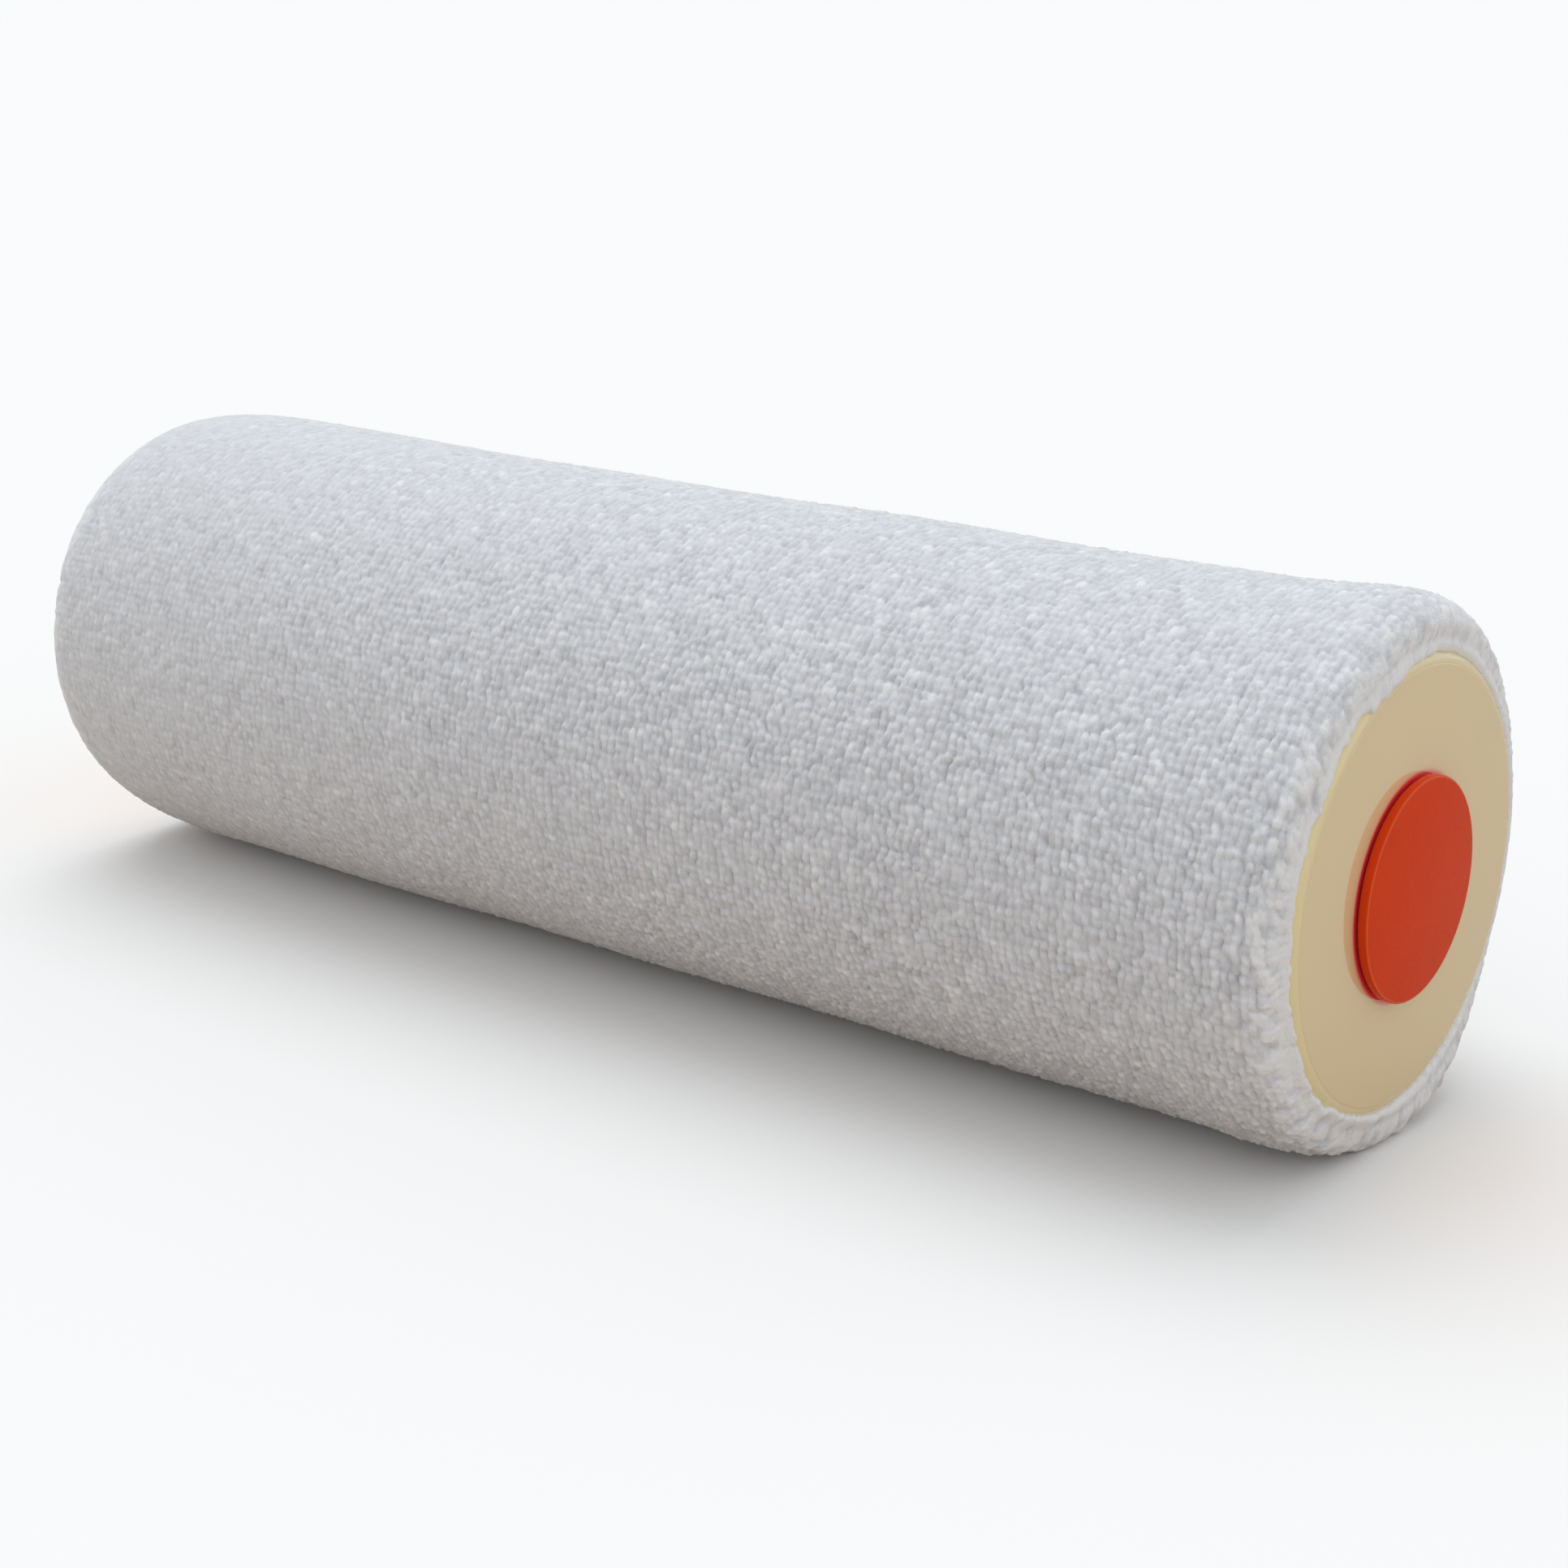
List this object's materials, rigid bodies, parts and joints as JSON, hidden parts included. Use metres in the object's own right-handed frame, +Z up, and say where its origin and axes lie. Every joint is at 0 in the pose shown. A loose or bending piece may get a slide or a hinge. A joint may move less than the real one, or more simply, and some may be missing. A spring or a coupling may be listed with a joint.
{
  "type": "paint roller",
  "caption": "Paint roller refill: a white short-pile sleeve on a plastic core, a cream cap at each end, and an orange plug and bush on an insert that holds the frame's rod.",
  "frame": {"origin": "on the surface that the roller lies on, under the middle of its length", "axes": "+X along the roller's centre line to its closed end, +Z up, +Y across"},
  "size_m": [0.1836, 0.057, 0.0569],
  "materials": {
    "pile_fabric": "white short woven microfibre pile",
    "core_plastic": "plain extruded polypropylene",
    "cream_plastic": "smooth moulded cream plastic",
    "orange_plastic": "smooth moulded orange plastic",
    "natural_plastic": "natural moulded acetal",
    "guide_plastic": "natural extruded tube"
  },
  "bodies": {
    "roller": {"pile_cover": "pile_fabric", "core_tube": "core_plastic", "closed_end_cap": "cream_plastic", "open_end_cap": "cream_plastic"},
    "rod_insert": {"closing_plug": "orange_plastic", "retaining_collet": "natural_plastic", "guide_tube": "guide_plastic", "entry_bush": "orange_plastic"}
  },
  "joints": [
    {"name": "insert_spin", "type": "hinge", "parent": "roller", "child": "rod_insert", "pos_m": [0, 0, 0.02846], "axis": [1, 0, 0], "continuous": true}
  ]
}
